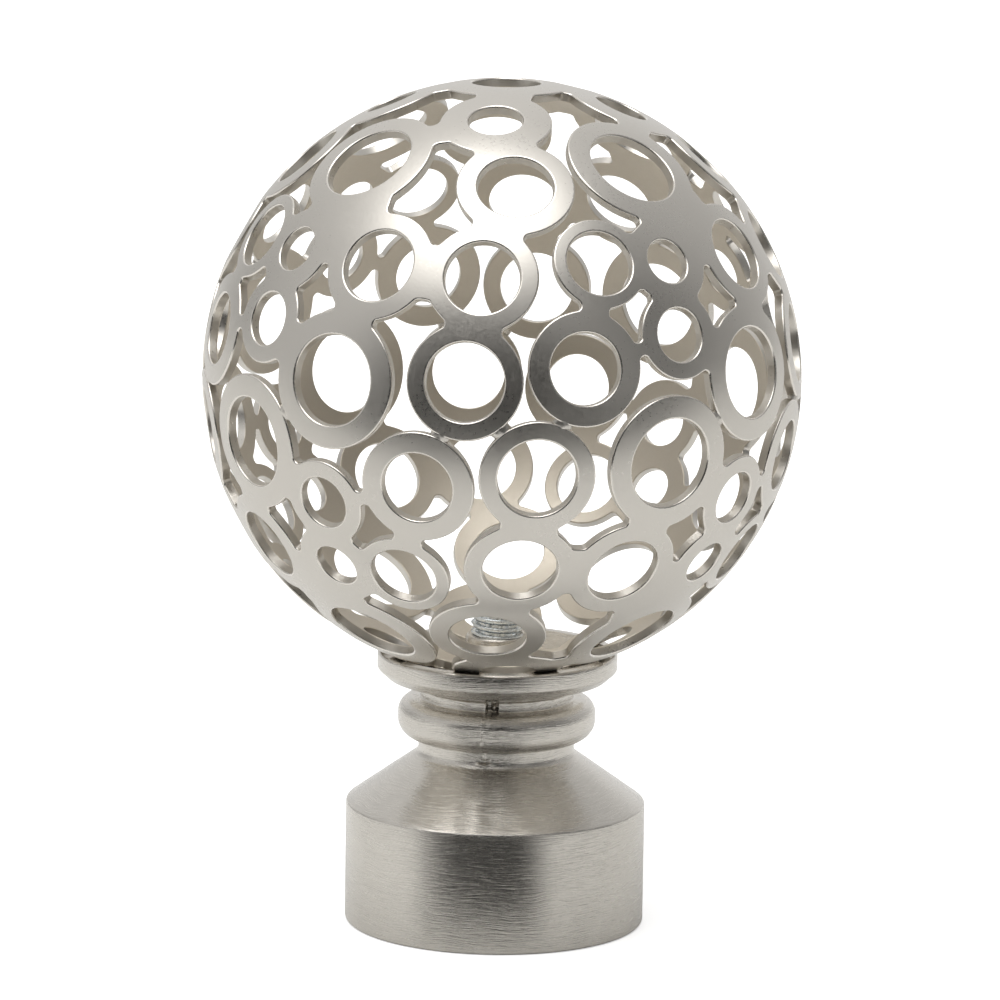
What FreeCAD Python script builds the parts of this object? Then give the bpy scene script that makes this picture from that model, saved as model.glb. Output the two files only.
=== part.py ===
import FreeCAD, Part
import Sketcher
import math
import os

from FreeCAD import Placement, Rotation, Vector

# A finial for the end of a curtain pole: a hollow ball of pierced sheet metal, about 70 mm across,
# on a cast base whose cup slides over the pole. The model stands upright, with +Z up and its origin
# at the middle of the cup's open end. Longitude 0 faces -Y, and grows towards +X.

os.makedirs("parts", exist_ok=True)
doc = FreeCAD.newDocument("Finial")

# Driving dimensions in millimetres, and in degrees where the name says so
SIZES = {
    "ball_radius": 35.0,
    "sheet_thickness": 1.15,
    "hub_degrees": 11.9,
    "corner_round": 0.6,
    "seam_slit": 0.5,
    "weld_radius": 0.95,
    "bore_radius": 14.6,
    "bore_inset": 0.35,
    "cup_wall": 3.05,
    "cup_height": 14.35,
    "cup_edge_round": 0.5,
    "shoulder_rise": 6.1,
    "shoulder_round": 0.35,
    "neck_radius": 9.2,
    "neck_length": 1.75,
    "neck_round": 1.2,
    "bead_bulge": 2.45,
    "bead_length": 4.7,
    "bead_low_round": 2.2,
    "bead_high_round": 1.7,
    "drum_radius": 9.0,
    "drum_length": 1.25,
    "valley_round": 0.25,
    "dish_rise": 1.25,
    "rim_flare": 1.2,
    "rim_flare_rise": 1.1,
    "rim_radius": 14.15,
    "rim_length": 2.0,
    "rim_land": 1.4,
    "rim_round": 0.4,
    "boss_wall": 0.8,
    "boss_clearance": 0.1,
    "boss_rise": 4.4,
    "boss_round": 0.35,
    "stud_radius": 3.0,
    "stud_grip": 11.9,
    "stud_reach": 3.1,
    "stud_bevel": 0.6,
}

# The pattern of the pressing is drawn for a quarter of the ball, so four arms fill it
ARMS = 4

# Rings of one arm of the pressing, in degrees on the ball:
# longitude, latitude, radius of the hole, width of the band around it
RINGS = {
    "crown": (85.0, 67.4, 5.2, 5.5),
    "brow": (93.0, 48.5, 7.2, 4.0),
    "temple": (43.0, 52.1, 8.7, 4.5),
    "cheek": (62.0, 30.0, 7.1, 3.7),
    "ear": (85.5, 28.8, 7.1, 3.5),
    "slim": (21.4, 31.5, 6.4, 2.6),
    "bead": (38.2, 30.8, 4.4, 4.2),
    "drop": (36.9, 16.6, 5.1, 3.4),
    "rim_left": (16.0, 11.5, 6.8, 4.1),
    "rim_large": (56.0, 7.4, 8.6, 4.4),
    "rim_right": (83.0, 9.0, 7.5, 3.5),
}

# Plain webs between rings of the same arm: longitude, latitude, radius, in degrees on the ball
WEBS = {
    "hub_web": (88.0, 78.5, 5.4),
    "crown_web": (64.5, 62.3, 3.6),
    "temple_web": (53.5, 42.3, 4.6),
    "middle_web": (47.0, 38.0, 4.0),
    "cheek_web": (74.0, 29.3, 5.4),
}

sheet = doc.addObject("Spreadsheet::Sheet", "Sizes")
row = 0
for name, value in SIZES.items():
    row += 1
    sheet.set(f"A{row}", name)
    sheet.set(f"B{row}", str(value))
    sheet.setAlias(f"B{row}", name)
for name, values in {**RINGS, **WEBS}.items():
    row += 1
    sheet.set(f"A{row}", name)
    kinds = ("longitude", "latitude", "hole", "band") if name in RINGS else ("longitude", "latitude", "radius")
    for column, kind, value in zip("BCDE", kinds, values):
        sheet.set(f"{column}{row}", str(value))
        sheet.setAlias(f"{column}{row}", f"{name}_{kind}")
doc.recompute()


def size(name):
    return float(sheet.get(name))


def value(expression):
    """What an expression of the sheet's sizes comes to."""
    return float(sheet.evalExpression(expression))


# Places that follow from the sizes: the base is a stack of levels, and the ball rests in its rim
cup_radius = "Sizes.bore_radius + Sizes.cup_wall"
bore_top = "Sizes.cup_height - Sizes.bore_inset"
shoulder_top = "Sizes.cup_height + Sizes.shoulder_rise"
neck_top = f"{shoulder_top} + Sizes.neck_length"
bead_radius = "Sizes.neck_radius + Sizes.bead_bulge"
bead_top = f"{neck_top} + Sizes.bead_length"
drum_top = f"{bead_top} + Sizes.drum_length"
dish_radius = "Sizes.rim_radius - Sizes.rim_flare"
dish_top = f"{drum_top} + Sizes.dish_rise"
rim_low = f"{dish_top} + Sizes.rim_flare_rise"
rim_top = f"{rim_low} + Sizes.rim_length"
seat_edge = "Sizes.rim_radius - Sizes.rim_land"
ball_height = f"{rim_top} + sqrt(Sizes.ball_radius ^ 2 - ({seat_edge}) ^ 2)"
boss_radius = "Sizes.stud_radius + Sizes.boss_wall"
boss_top = f"{ball_height} - Sizes.ball_radius + Sizes.boss_rise"
stud_low = f"{boss_top} - Sizes.stud_grip"
stud_top = f"{boss_top} + Sizes.stud_reach"
sheet_inside = "Sizes.ball_radius - Sizes.sheet_thickness"
pole_hole_angle = math.asin(value(f"({boss_radius} + Sizes.boss_clearance) / ({sheet_inside})"))


# Round plates on the ball

def on_ball(longitude, latitude):
    lon = math.radians(longitude)
    lat = math.radians(latitude)
    return Vector(math.cos(lat) * math.sin(lon), -math.cos(lat) * math.cos(lon), math.sin(lat))


def side_vectors(axis):
    start = axis.cross(Vector(0.1, 0.2, 1.0)).normalize()
    return start, axis.cross(start)


class Plate:
    """A round plate on the ball: its middle, its radius as an angle, and the arm that it belongs to."""

    def __init__(self, axis, radius, arm):
        self.axis = axis
        self.radius = radius
        self.arm = arm

    def angle_of(self, point):
        across, along = side_vectors(self.axis)
        return math.atan2(point.dot(along), point.dot(across))

    def point_at(self, angle, radius):
        across, along = side_vectors(self.axis)
        ring = across * math.cos(angle) + along * math.sin(angle)
        return self.axis * math.cos(radius) + ring * math.sin(radius)

    def joins(self, other):
        return other is not self and (other.arm == self.arm or None in (other.arm, self.arm))


def arm_plates():
    """The hub and, for each arm, its rings and webs. Two arms meet only at the hub."""
    plates = [Plate(Vector(0, 0, 1), math.radians(size("hub_degrees")), None)]
    for arm in range(ARMS):
        turn = 360.0 * arm / ARMS
        for name in RINGS:
            middle = on_ball(size(f"{name}_longitude") + turn, size(f"{name}_latitude"))
            radius = math.radians(size(f"{name}_hole") + size(f"{name}_band"))
            plates.append(Plate(middle, radius, arm))
        for name in WEBS:
            middle = on_ball(size(f"{name}_longitude") + turn, size(f"{name}_latitude"))
            plates.append(Plate(middle, math.radians(size(f"{name}_radius")), arm))
    return plates


def crossings(first, second, widen):
    """Points where the edges of two plates cross, once both are widened by the same angle."""
    lean = first.axis.dot(second.axis)
    near = math.cos(first.radius + widen)
    far = math.cos(second.radius + widen)
    spread = 1 - lean * lean
    if spread < 1e-9:
        return []
    x = (near - lean * far) / spread
    y = (far - lean * near) / spread
    rest = 1 - x * x - y * y - 2 * x * y * lean
    if rest <= 0:
        return []
    middle = first.axis * x + second.axis * y
    offset = first.axis.cross(second.axis) * math.sqrt(rest / spread)
    return [middle + offset, middle - offset]


def free_arcs(plates, widen):
    """Stretches of each widened plate's edge that no other plate covers, as (plate, start, end, next plate)."""
    arcs = []
    for plate in plates:
        others = [other for other in plates if plate.joins(other)]
        cuts = []
        for other in others:
            for point in crossings(plate, other, widen):
                cuts.append((plate.angle_of(point), other))
        cuts.sort(key=lambda cut: cut[0])
        for index, (start, _) in enumerate(cuts):
            end, following = cuts[(index + 1) % len(cuts)]
            if end <= start:
                end += 2 * math.pi
            middle = plate.point_at((start + end) / 2, plate.radius + widen)
            if all(middle.dot(other.axis) < math.cos(other.radius + widen) for other in others):
                arcs.append((plate, start, end, following))
    return arcs


def edge_loops(arcs, widen):
    """Chain the free arcs, each of which starts where another one ends."""
    left = list(arcs)
    loops = []
    while left:
        loop = [left.pop(0)]
        while True:
            plate, _, end, following = loop[-1]
            corner = plate.point_at(end, plate.radius + widen)
            found = None
            for arc in left:
                if arc[0] is following:
                    if arc[0].point_at(arc[1], arc[0].radius + widen).distanceToPoint(corner) < 1e-6:
                        found = arc
            if found is None:
                break
            left.remove(found)
            loop.append(found)
        loops.append(loop)
    return loops


# Walls and holes, all square to the ball's surface

def wall(direction, axis, angle, low, high):
    """A wall between two radii, swept from one direction around an axis through the ball's middle."""
    edge = Part.makeLine(direction * low, direction * high)
    return edge.revolve(Vector(0, 0, 0), axis, math.degrees(angle))


def loop_walls(loop, fillet, low, high):
    """Walls along a loop of plate edges, with a rounded inside corner between each two."""
    faces = []
    for plate, start, end, following in loop:
        faces.append(wall(plate.point_at(start, plate.radius), plate.axis, end - start, low, high))
        corner = plate.point_at(end, plate.radius + fillet)
        first = (plate.axis - corner * corner.dot(plate.axis)).normalize()
        second = (following.axis - corner * corner.dot(following.axis)).normalize()
        turn = math.atan2(first.cross(second).dot(corner), first.dot(second))
        faces.append(wall(corner * math.cos(fillet) + first * math.sin(fillet), corner, turn, low, high))
    shell = Part.makeShell(faces)
    shell.sewShape()
    return shell


def hole_cone(axis, radius, low, high):
    """A cone from the ball's middle outwards, for a hole with walls square to the surface."""
    start = low * math.cos(radius)
    slope = math.tan(radius)
    return Part.makeCone(start * slope, high * slope, high - start, axis * start, axis)


def sheet_cap(reach):
    """The bent sheet around +Z, out to an angle from it, with the ball's middle at the origin."""
    outer = size("ball_radius")
    inner = value(sheet_inside)

    def point(radius, angle):
        return Vector(radius * math.sin(angle), 0, radius * math.cos(angle))

    section = Part.Wire([
        Part.Arc(point(outer, reach), point(outer, reach / 2), point(outer, 0)).toShape(),
        Part.makeLine(point(outer, 0), point(inner, 0)),
        Part.Arc(point(inner, 0), point(inner, reach / 2), point(inner, reach)).toShape(),
        Part.makeLine(point(inner, reach), point(outer, reach)),
    ])
    return Part.Face(section).revolve(Vector(0, 0, 0), Vector(0, 0, 1), 360)


def half_shell():
    """One pressed and pierced half of the ball, with its middle at the origin."""
    outer = size("ball_radius")
    inner = value(sheet_inside)
    low = inner - 1.0
    high = outer + 1.0
    fillet = size("corner_round") / outer
    dome = sheet_cap(math.radians(110))
    # Tilted a little, so that no circle of the pattern runs along the dome's own parallels
    dome.rotate(Vector(0, 0, 0), Vector(0.6, 0.8, 0), 5)

    loops = edge_loops(free_arcs(arm_plates(), fillet), fillet)
    shells = [loop_walls(loop, fillet, low, high) for loop in loops]
    pieces = dome.generalFuse(shells)[1][0]
    hub_angle = (math.radians(size("hub_degrees")) + pole_hole_angle) / 2
    hub_point = Vector(math.sin(hub_angle), 0, math.cos(hub_angle)) * (outer + inner) / 2
    blank = [piece for piece in pieces if piece.isInside(hub_point, 1e-4, False)][0]

    cutters = [hole_cone(Vector(0, 0, 1), pole_hole_angle, low, high)]
    for arm in range(ARMS):
        for name in RINGS:
            middle = on_ball(size(f"{name}_longitude") + 360.0 * arm / ARMS, size(f"{name}_latitude"))
            cutters.append(hole_cone(middle, math.radians(size(f"{name}_hole")), low, high))
    return blank.cut(cutters)


def solid_of(shape):
    """The single solid of a boolean's result."""
    solids = sorted(shape.Solids, key=lambda solid: solid.Volume)
    return solids[-1]


ball_middle = Vector(0, 0, value(ball_height))
pressing = solid_of(half_shell())

upper = doc.addObject("Part::Feature", "UpperHalfShell")
upper.Label = "upper_half_shell"
upper.Shape = pressing
upper.Placement = Placement(ball_middle, Rotation())

lower = doc.addObject("Part::Feature", "LowerHalfShell")
lower.Label = "lower_half_shell"
lower.Shape = pressing
lower.Placement = Placement(ball_middle, Rotation(Vector(0, 1, 0), 180))


# Weld spots where a rim ring of one half touches one of the other half

def weld_spots():
    """Nuggets over the touching places, less the two rings, so that each bridges its slit."""
    middle_radius = size("ball_radius") - size("sheet_thickness") / 2
    widest_slit = size("seam_slit") / size("ball_radius")
    nuggets = []
    for arm in range(ARMS):
        turn = 360.0 * arm / ARMS
        for name in ("rim_left", "rim_large", "rim_right"):
            above = on_ball(size(f"{name}_longitude") + turn, size(f"{name}_latitude"))
            above_radius = math.radians(size(f"{name}_hole") + size(f"{name}_band"))
            for other_arm in range(ARMS):
                other_turn = 360.0 * other_arm / ARMS
                for other_name in ("rim_left", "rim_large", "rim_right"):
                    longitude = size(f"{other_name}_longitude") + other_turn
                    below = on_ball(-longitude, -size(f"{other_name}_latitude"))
                    below_radius = math.radians(size(f"{other_name}_hole") + size(f"{other_name}_band"))
                    apart = above.getAngle(below)
                    slit = apart - above_radius - below_radius
                    if abs(slit) > widest_slit:
                        continue
                    towards = (below - above * above.dot(below)).normalize()
                    reach = above_radius + slit / 2
                    spot = above * math.cos(reach) + towards * math.sin(reach)
                    nugget = Part.makeSphere(size("weld_radius"), spot * middle_radius)
                    bands = []
                    for axis, radius in ((above, above_radius), (below, below_radius)):
                        band = sheet_cap(radius)
                        band.Placement = Placement(Vector(0, 0, 0), Rotation(Vector(0, 0, 1), axis))
                        bands.append(band)
                    nuggets.append(solid_of(nugget.cut(bands)))
    spots = Part.makeCompound(nuggets)
    spots.translate(ball_middle)
    return spots


welds = doc.addObject("Part::Feature", "SeamWelds")
welds.Label = "seam_welds"
welds.Shape = weld_spots()


# Cast base: cup, shoulder, bead, dish and boss, turned from one outline

base = doc.addObject("PartDesign::Body", "BaseCasting")
base.Label = "base_casting"
outline = base.newObject("Sketcher::SketchObject", "BaseOutline")
upright = [plane for plane in base.Origin.OriginFeatures if plane.Role == "XZ_Plane"][0]
outline.AttachmentSupport = [(upright, "")]
outline.MapMode = "FlatFace"

# Corners of the outline, each a radius and a height from the axis and the cup's open end
CORNERS = {
    "bore_mouth": ("Sizes.bore_radius", "0"),
    "cup_edge": (cup_radius, "0"),
    "shoulder": (cup_radius, "Sizes.cup_height"),
    "neck": ("Sizes.neck_radius", shoulder_top),
    "bead_root": ("Sizes.neck_radius", neck_top),
    "bead_low": (bead_radius, neck_top),
    "bead_high": (bead_radius, bead_top),
    "drum_foot": ("Sizes.drum_radius", bead_top),
    "drum_head": ("Sizes.drum_radius", drum_top),
    "dish": (dish_radius, dish_top),
    "rim_low": ("Sizes.rim_radius", rim_low),
    "rim_high": ("Sizes.rim_radius", rim_top),
    "seat_edge": (seat_edge, rim_top),
    "boss_foot": (boss_radius, f"{ball_height} - sqrt(Sizes.ball_radius ^ 2 - ({boss_radius}) ^ 2)"),
    "boss_top": (boss_radius, boss_top),
    "stud_mouth": ("Sizes.stud_radius", boss_top),
    "stud_floor": ("Sizes.stud_radius", stud_low),
    "stud_middle": ("0", stud_low),
    "bore_middle": ("0", bore_top),
    "bore_corner": ("Sizes.bore_radius", bore_top),
}


def corner_point(name):
    radius, height = CORNERS[name]
    return Vector(value(radius), value(height), 0)


def bind(sketch, kind, line, point, expression):
    """Tie a point's distance from the sketch's origin to sizes in the sheet, or put it on an axis."""
    if expression == "0":
        axis = -2 if kind == "DistanceX" else -1
        sketch.addConstraint(Sketcher.Constraint("PointOnObject", line, point, axis))
        return
    index = sketch.addConstraint(Sketcher.Constraint(kind, -1, 1, line, point, value(expression)))
    sketch.setExpression(f"Constraints[{index}]", expression)


names = list(CORNERS)
seat_line = names.index("seat_edge")
for index, name in enumerate(names):
    start = corner_point(name)
    end = corner_point(names[(index + 1) % len(names)])
    if index == seat_line:
        centre = Vector(0, value(ball_height), 0)
        circle = Part.Circle(centre, Vector(0, 0, 1), size("ball_radius"))
        first = math.atan2(end.y - centre.y, end.x)
        last = math.atan2(start.y - centre.y, start.x)
        outline.addGeometry(Part.ArcOfCircle(circle, first, last), False)
    else:
        outline.addGeometry(Part.LineSegment(start, end), False)

for index, name in enumerate(names):
    following = (index + 1) % len(names)
    own_end = 1 if index == seat_line else 2
    next_start = 2 if following == seat_line else 1
    outline.addConstraint(Sketcher.Constraint("Coincident", index, own_end, following, next_start))
for index, name in enumerate(names):
    own_start = 2 if index == seat_line else 1
    radius, height = CORNERS[name]
    bind(outline, "DistanceX", index, own_start, radius)
    if name != "boss_foot":
        bind(outline, "DistanceY", index, own_start, height)
outline.addConstraint(Sketcher.Constraint("PointOnObject", seat_line, 3, -2))
bind(outline, "DistanceY", seat_line, 3, ball_height)

turned = base.newObject("PartDesign::Revolution", "TurnedBase")
turned.Profile = outline
turned.ReferenceAxis = (outline, ["V_Axis"])
turned.Angle = 360
doc.recompute()


def ring_edges(shape, radius, height):
    """Names of the circular edges around the axis at a radius and a height."""
    names = []
    for index, edge in enumerate(shape.Edges, start=1):
        if isinstance(edge.Curve, Part.Circle):
            centre = edge.Curve.Center
            if abs(edge.Curve.Radius - radius) < 1e-4 and abs(centre.z - height) < 1e-4:
                names.append(f"Edge{index}")
    return names


def round_edges(feature, name, corners, rounding):
    """Round the circular edges at the given corners of the outline."""
    fillet = base.newObject("PartDesign::Fillet", name)
    edges = []
    for corner in corners:
        place = corner_point(corner)
        edges += ring_edges(feature.Shape, place.x, place.y)
    fillet.Base = (feature, edges)
    fillet.setExpression("Radius", rounding)
    doc.recompute()
    return fillet


# Each rounding, its corners and its radius, which its own wall limits
half_bead = "0.49 * Sizes.bead_length"
bead_step = f"({bead_radius} - Sizes.drum_radius)"
ROUNDINGS = {
    "BeadLowRounding": (["bead_low"], f"min(Sizes.bead_low_round; 0.9 * Sizes.bead_bulge; {half_bead})"),
    "BeadHighRounding": (["bead_high"], f"min(Sizes.bead_high_round; 0.7 * {bead_step}; {half_bead})"),
    "ShoulderRounding": (["shoulder"], "Sizes.shoulder_round"),
    "NeckRounding": (["neck"], "min(Sizes.neck_round; Sizes.neck_length)"),
    "ValleyRounding": (["drum_foot", "drum_head"], "min(Sizes.valley_round; 0.4 * Sizes.drum_length)"),
    "CupEdgeRounding": (["cup_edge"], "min(Sizes.cup_edge_round; 0.4 * Sizes.cup_wall)"),
    "RimRounding": (["rim_high", "rim_low", "dish"], "min(Sizes.rim_round; 0.4 * Sizes.rim_land)"),
    "BossRounding": (["boss_top"], "min(Sizes.boss_round; 0.8 * Sizes.boss_wall)"),
}
last = turned
for name, (corners, rounding) in ROUNDINGS.items():
    last = round_edges(last, name, corners, rounding)
base.Tip = last

# Threaded stud: its plain core, with a bevelled tip

shank = doc.addObject("Part::Cylinder", "StudShank")
shank.setExpression("Radius", "Sizes.stud_radius")
shank.setExpression("Height", "Sizes.stud_grip + Sizes.stud_reach - Sizes.stud_bevel")
shank.setExpression("Placement.Base.z", stud_low)
tip = doc.addObject("Part::Cone", "StudTip")
tip.setExpression("Radius1", "Sizes.stud_radius")
tip.setExpression("Radius2", "Sizes.stud_radius - Sizes.stud_bevel")
tip.setExpression("Height", "Sizes.stud_bevel")
tip.setExpression("Placement.Base.z", f"{stud_top} - Sizes.stud_bevel")
stud = doc.addObject("Part::Fuse", "Stud")
stud.Label = "stud"
stud.Base = shank
stud.Tool = tip
doc.recompute()

# Check every object, then write each piece

for item in doc.Objects:
    if "Invalid" in item.State or "Error" in item.State:
        raise RuntimeError(f"{item.Label} failed: {item.State}")
pieces = [upper, lower, welds, base, stud]
for piece in pieces:
    if piece.Shape.isNull() or not piece.Shape.isValid():
        raise RuntimeError(f"{piece.Label} has no valid shape")
for piece in pieces:
    piece.Shape.exportStep(f"parts/{piece.Label}.step")
    print(piece.Label, len(piece.Shape.Solids), round(piece.Shape.Volume, 1), len(piece.Shape.Faces))
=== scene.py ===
import math

import bmesh
import bpy
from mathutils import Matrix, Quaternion, Vector
from mathutils.geometry import delaunay_2d_cdt
from mathutils.kdtree import KDTree


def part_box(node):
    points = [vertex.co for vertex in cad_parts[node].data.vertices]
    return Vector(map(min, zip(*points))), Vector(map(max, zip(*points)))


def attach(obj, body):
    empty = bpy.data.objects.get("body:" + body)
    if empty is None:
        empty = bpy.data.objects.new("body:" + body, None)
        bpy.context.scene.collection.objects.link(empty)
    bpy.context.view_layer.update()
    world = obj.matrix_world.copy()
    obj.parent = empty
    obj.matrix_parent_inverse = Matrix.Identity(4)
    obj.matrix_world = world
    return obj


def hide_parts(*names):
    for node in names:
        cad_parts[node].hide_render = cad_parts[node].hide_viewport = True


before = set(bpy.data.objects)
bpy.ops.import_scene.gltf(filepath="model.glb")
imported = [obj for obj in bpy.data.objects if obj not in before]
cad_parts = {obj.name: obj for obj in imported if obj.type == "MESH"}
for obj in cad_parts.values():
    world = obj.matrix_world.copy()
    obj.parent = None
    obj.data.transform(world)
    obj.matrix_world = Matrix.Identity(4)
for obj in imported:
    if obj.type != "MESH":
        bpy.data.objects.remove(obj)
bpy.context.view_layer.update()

# Base casting: cup, shoulder, bead, drum and dish in one zinc casting, nickel plated and brushed round
# and round. The two halves of its mould left a parting line up the bead and a nick in the drum above.

MM = 0.001
NICKEL = (0.64, 0.61, 0.56)
BALL_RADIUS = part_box("upper_half_shell")[1].y
BALL_MIDDLE = Vector((0, 0, (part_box("upper_half_shell")[1].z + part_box("lower_half_shell")[0].z) / 2))
# Corners of the turned outline from the bore to the rim: radius, height and rounding, in millimetres
CASTING_CORNERS = [
    (14.6, 14.0, 0.4), (14.6, 0.0, 0.2), (17.65, 0.0, 0.5), (17.65, 14.35, 0.35), (9.2, 20.45, 1.2),
    (9.2, 22.2, 0.2), (11.65, 22.2, 2.2), (11.65, 26.9, 1.7), (9.0, 26.9, 0.25), (9.0, 28.15, 0.25),
    (12.95, 29.4, 0.4), (14.15, 30.5, 0.4), (14.15, 32.5, 0.4), (12.75, 32.5, 0.1),
]
BOSS_CORNERS = [(3.8, 34.495, 0.35), (3.0, 34.495, 0.1), (3.0, 22.6, 0.0)]
SEAT_STEPS = 16
# The outline's longest steps: fine between the two heights of the necks, and coarse elsewhere. A corner
# whose half angle is over STRAIGHT degrees isn't rounded.
NECKS = (20.0, 28.6)
FINE_STEP = 0.16
COARSE_STEP = 0.9
ARC_FINENESS = 1.6
STRAIGHT = 89.0
# Longitudes of the mesh in degrees: the parting line in front, and the finer steps beside it and behind
SEAM = -8.4
SEAM_REACH = 11.0
BACK_REACH = 1.8
SEAM_STEP = 0.45
TURN_STEP = 2.0
# Flaws of the mould in millimetres: how far each stands out or in, its place across the parting line and
# its half width there. CRUMB, FOLD and DENT go on with a height, a half width up and a rise to the sides.
SKIN_RADIUS = 12.0
BEAD_TOP, DRUM_FOOT = 26.9, 26.95
RIDGE, BACK_RIDGE, RIDGE_HALF, RIDGE_WAVES = 0.13, 0.1, 0.18, 7.0
STEP, STEP_AT, STEP_HALF = -0.09, 0.45, 0.5
NICK, NICK_AT, NICK_FLOOR, NICK_SLOPE = -1.0, 0.8, 0.6, 0.18
CRUMB = (1.05, 1.05, 0.5, 27.55, 0.7, 0.0)
FOLD = (0.3, -0.1, 1.2, 20.6, 0.24, 0.3)
DENT = (-0.2, 0.1, 0.8, 21.05, 0.24, 0.3)
LIP, LIP_HEIGHT, LIP_HALF, LIP_RISE = 0.16, 20.72, 0.2, 0.05
# Brush strokes: length, width, waver and depth in millimetres, and the finish that they leave
STROKE_LENGTH, STROKE_WIDTH, STROKE_WAVER = 2.6, 0.13, 1.2
WAVER_SCALE, PATCH_SCALE, PATCH_SHARE = 160.0, 90.0, 0.4
STROKE_ROUGHNESS = (0.17, 0.31)
STROKE_SHADES = (0.9, 1.12)
STROKE_DEPTH, STROKE_STRENGTH = 0.06, 0.75
ANISOTROPY, ROUND_AND_ROUND = 0.6, 0.25


def rounded_line(corners):
    """The corners joined by straight lines, each corner rounded by an arc of its own radius."""
    line = [Vector(corners[0][:2])]
    for before, (radius, height, rounding), after in zip(corners, corners[1:], corners[2:]):
        corner = Vector((radius, height))
        come = (Vector(before[:2]) - corner).normalized()
        go = (Vector(after[:2]) - corner).normalized()
        half = come.angle(go) / 2
        if rounding == 0 or half > math.radians(STRAIGHT):
            line.append(corner)
            continue
        middle = corner + (come + go).normalized() * rounding / math.sin(half)
        start = corner + come * rounding / math.tan(half) - middle
        end = corner + go * rounding / math.tan(half) - middle
        steps = max(2, round(start.angle(end) * rounding / FINE_STEP * ARC_FINENESS))
        for step in range(steps + 1):
            line.append(middle + start.slerp(end, step / steps).normalized() * rounding)
    line.append(Vector(corners[-1][:2]))
    return line


def casting_outline():
    """The whole turned outline, in steps that are fine at the necks and coarse elsewhere."""
    edge = CASTING_CORNERS[-1]
    foot = BOSS_CORNERS[0][0]
    middle = BALL_MIDDLE.z / MM
    ball = BALL_RADIUS / MM
    seat = []
    for step in range(1, SEAT_STEPS + 1):
        radius = edge[0] + (foot - edge[0]) * step / SEAT_STEPS
        seat.append((radius, middle - math.sqrt(ball ** 2 - radius ** 2), 0.0))
    line = rounded_line(CASTING_CORNERS + seat + BOSS_CORNERS)
    dense = [line[0]]
    for start, end in zip(line, line[1:]):
        middle_height = (start.y + end.y) / 2
        longest = FINE_STEP if NECKS[0] < middle_height < NECKS[1] else COARSE_STEP
        steps = max(1, math.ceil((end - start).length / longest))
        for step in range(1, steps + 1):
            dense.append(start.lerp(end, step / steps))
    return dense


def bump_at(distance, width):
    """A smooth hill that is 1 at its middle and fades out at its width."""
    return max(0.0, 1.0 - (distance / width) ** 2) ** 2


def casting_flaw(radius, height, longitude):
    """How far the skin of the necks and the bead stands out or in, in millimetres."""
    if not NECKS[0] < height < NECKS[1] or radius > SKIN_RADIUS:
        return 0.0
    across = math.radians(longitude - SEAM) * radius
    if longitude > SEAM + SEAM_REACH + TURN_STEP:
        return BACK_RIDGE * bump_at(across - math.pi * radius, RIDGE_HALF)
    flaw = RIDGE * bump_at(across, RIDGE_HALF) * (0.6 + 0.4 * math.sin(height * RIDGE_WAVES))
    if height < BEAD_TOP:
        flaw += STEP * bump_at(across - STEP_AT, STEP_HALF)
    if height > DRUM_FOOT:
        flaw += NICK * bump_at(max(0.0, abs(across - NICK_AT) - NICK_FLOOR), NICK_SLOPE)
    for out, at, half, up, high, rise in (CRUMB, FOLD, DENT):
        flaw += out * bump_at(across - at, half) * bump_at(height - up - rise * abs(across), high)
    lip = LIP * bump_at(height - LIP_HEIGHT - LIP_RISE * abs(across), LIP_HALF)
    return flaw + lip * bump_at(longitude - SEAM, SEAM_REACH + TURN_STEP)


def turned(name, outline, longitudes, flaw=None):
    """A closed turned mesh from an outline of radii and heights in millimetres, capped at both ends."""
    verts = []
    faces = []
    rows = len(outline)
    for longitude in longitudes:
        turn = math.radians(longitude)
        for point in outline:
            radius = point.x + (flaw(point.x, point.y, longitude) if flaw else 0.0)
            verts.append(Vector((math.sin(turn) * radius, -math.cos(turn) * radius, point.y)) * MM)
    columns = len(longitudes)
    for column in range(columns):
        here = column * rows
        there = (column + 1) % columns * rows
        for row in range(rows - 1):
            faces.append((here + row, there + row, there + row + 1, here + row + 1))
    faces.append([column * rows + rows - 1 for column in range(columns)])
    faces.append([column * rows for column in reversed(range(columns))])
    mesh = bpy.data.meshes.new(name)
    mesh.from_pydata(verts, [], faces)
    form = bmesh.new()
    form.from_mesh(mesh)
    bmesh.ops.recalc_face_normals(form, faces=form.faces)
    form.to_mesh(mesh)
    form.free()
    mesh.shade_smooth()
    piece = bpy.data.objects.new(name, mesh)
    bpy.context.scene.collection.objects.link(piece)
    return piece


def node_after(tree, kind, *inputs, **settings):
    """A shader node with its settings made and its first inputs linked, or set where they are numbers."""
    node = tree.nodes.new(kind)
    for name, setting in settings.items():
        setattr(node, name, setting)
    for socket, given in zip(node.inputs, inputs):
        if isinstance(given, bpy.types.NodeSocket):
            tree.links.new(given, socket)
        elif given is not None:
            socket.default_value = given
    return node


def spread(tree, value, low, high, start=0.3, end=0.7):
    """A value between start and end, spread between low and high."""
    return node_after(tree, "ShaderNodeMapRange", value, start, end, low, high).outputs["Result"]


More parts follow.
